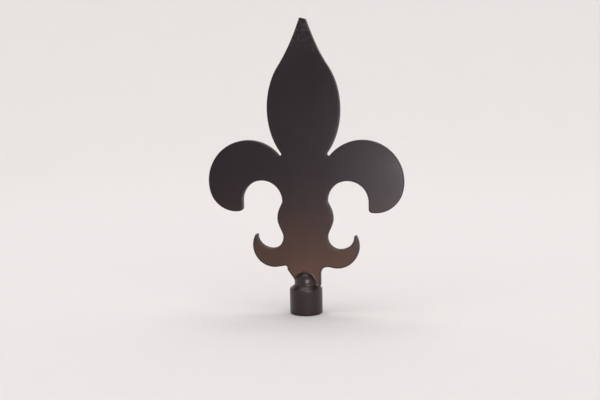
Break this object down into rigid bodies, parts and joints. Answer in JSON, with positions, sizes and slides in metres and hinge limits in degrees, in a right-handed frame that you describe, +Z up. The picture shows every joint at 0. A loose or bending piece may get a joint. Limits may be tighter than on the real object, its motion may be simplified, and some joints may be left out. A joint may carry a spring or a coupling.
{
  "type": "lamp shade finial",
  "caption": "Flat fleur-de-lis of black coated sheet steel, brazed into a small turned knob that screws onto a lamp harp to hold the shade.",
  "frame": {"origin": "centre of the flat underside of the threaded knob, on the axis of its bore", "axes": "+Z up along the bore, +X to the right along the flat plate, the plate's front faces -Y"},
  "size_m": [0.0734, 0.0122, 0.1089],
  "materials": {
    "black_powder_coat": "satin black powder coat on sheet steel",
    "black_lacquered_brass": "black lacquer, a little glossier than the plate"
  },
  "bodies": {
    "root": {"fleur_plate": "black_powder_coat", "threaded_knob": "black_lacquered_brass"}
  },
  "joints": []
}
